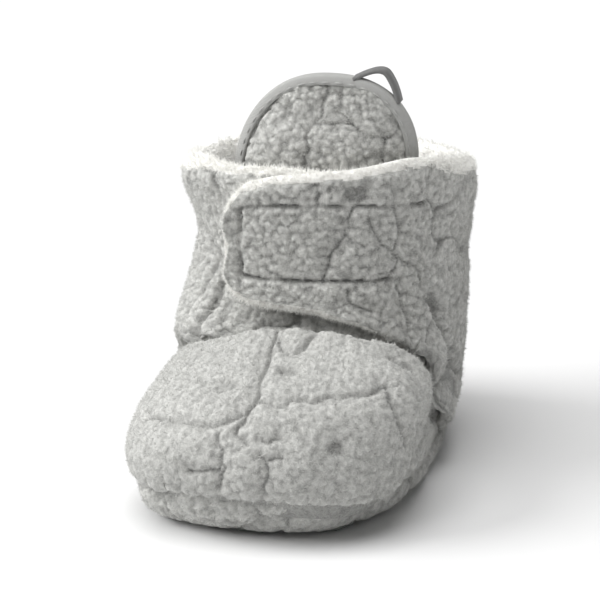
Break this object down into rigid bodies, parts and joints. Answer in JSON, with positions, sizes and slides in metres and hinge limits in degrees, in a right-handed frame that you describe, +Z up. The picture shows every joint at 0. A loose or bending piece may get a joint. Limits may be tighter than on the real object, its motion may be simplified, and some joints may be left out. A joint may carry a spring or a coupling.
{
  "type": "baby slipper",
  "caption": "Soft baby bootie slipper: padded fleece upper with plush lining, wrap flap over a bound tongue, pull loop, and padded sole with six-sided grip pads.",
  "frame": {"origin": "middle of the bounding box on the floor under the sole", "axes": "toe to -Y, heel to +Y, inner side of the foot to +X, +Z up"},
  "size_m": [0.0798, 0.1302, 0.1132],
  "materials": {
    "fleece": "light grey embossed sherpa fleece, matt",
    "tape": "smooth grey woven tape",
    "plush": "warm white pile",
    "hook": "grey hook tape",
    "grip": "satin grey silicone",
    "label": "plain cream woven label"
  },
  "bodies": {
    "root": {"upper": "fleece", "closure_flap": "fleece", "hook_tape": "hook", "tongue": "fleece", "tongue_binding": "tape", "pull_loop": "tape", "outsole": "fleece", "insole": "plush", "heel_label": "label", "grip_pad_01": "grip", "grip_pad_02": "grip", "grip_pad_03": "grip", "grip_pad_04": "grip", "grip_pad_05": "grip", "grip_pad_06": "grip", "grip_pad_07": "grip", "grip_pad_08": "grip", "grip_pad_09": "grip", "grip_pad_10": "grip", "grip_pad_11": "grip", "grip_pad_12": "grip", "grip_pad_13": "grip", "grip_pad_14": "grip", "grip_pad_15": "grip"}
  },
  "joints": []
}
